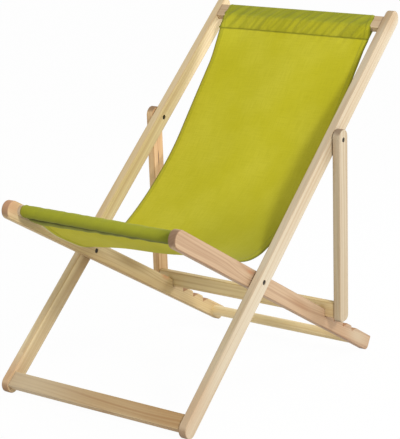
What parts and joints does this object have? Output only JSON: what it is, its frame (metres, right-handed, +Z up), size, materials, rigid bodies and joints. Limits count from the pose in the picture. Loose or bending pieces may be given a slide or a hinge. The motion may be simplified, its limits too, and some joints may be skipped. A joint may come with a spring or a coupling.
{
  "type": "folding lounge chair",
  "caption": "Low folding lounge chair: two crossed wooden frames, a notched recline prop and a slung canvas seat between a top bar and a round front bar.",
  "frame": {"origin": "on the floor, under the middle of the open chair's box", "axes": "+Z up, -Y the way a sitter faces, +X to the sitter's left"},
  "size_m": [0.585, 0.9648, 0.9108],
  "materials": {
    "light_wood": "fine sanded, oiled, straight grain with small knots",
    "canvas": "matt woven canvas, hemmed and stitched",
    "dark_steel": "blackened, semi-matt",
    "spacer_plastic": "plain moulded"
  },
  "bodies": {
    "back_frame": {"back_rail_right": "light_wood", "back_rail_left": "light_wood", "top_bar": "light_wood", "foot_stretcher": "light_wood", "top_bar_dowels": "light_wood", "foot_stretcher_dowels": "light_wood", "sling": "canvas", "main_pivot_screws": "dark_steel", "main_pivot_sleeves": "dark_steel", "prop_pivot_screws": "dark_steel", "prop_pivot_sleeves": "dark_steel", "main_pivot_washers": "spacer_plastic", "prop_pivot_washers": "spacer_plastic"},
    "seat_frame": {"seat_rail_right": "light_wood", "seat_rail_left": "light_wood", "seat_front_bar": "light_wood", "rear_stretcher": "light_wood"},
    "prop_frame": {"prop_leg_right": "light_wood", "prop_leg_left": "light_wood", "prop_crossbar": "light_wood", "prop_crossbar_dowels": "light_wood"}
  },
  "joints": [
    {"name": "seat_fold", "type": "hinge", "parent": "back_frame", "child": "seat_frame", "pos_m": [0, -0.1416, 0.30419], "axis": [-1, 0, 0], "range_deg": [0, 105], "deforming": ["sling"]},
    {"name": "prop_swing", "type": "hinge", "parent": "back_frame", "child": "prop_frame", "pos_m": [0, 0.17262, 0.60933], "axis": [1, 0, 0], "range_deg": [0, 125]}
  ]
}
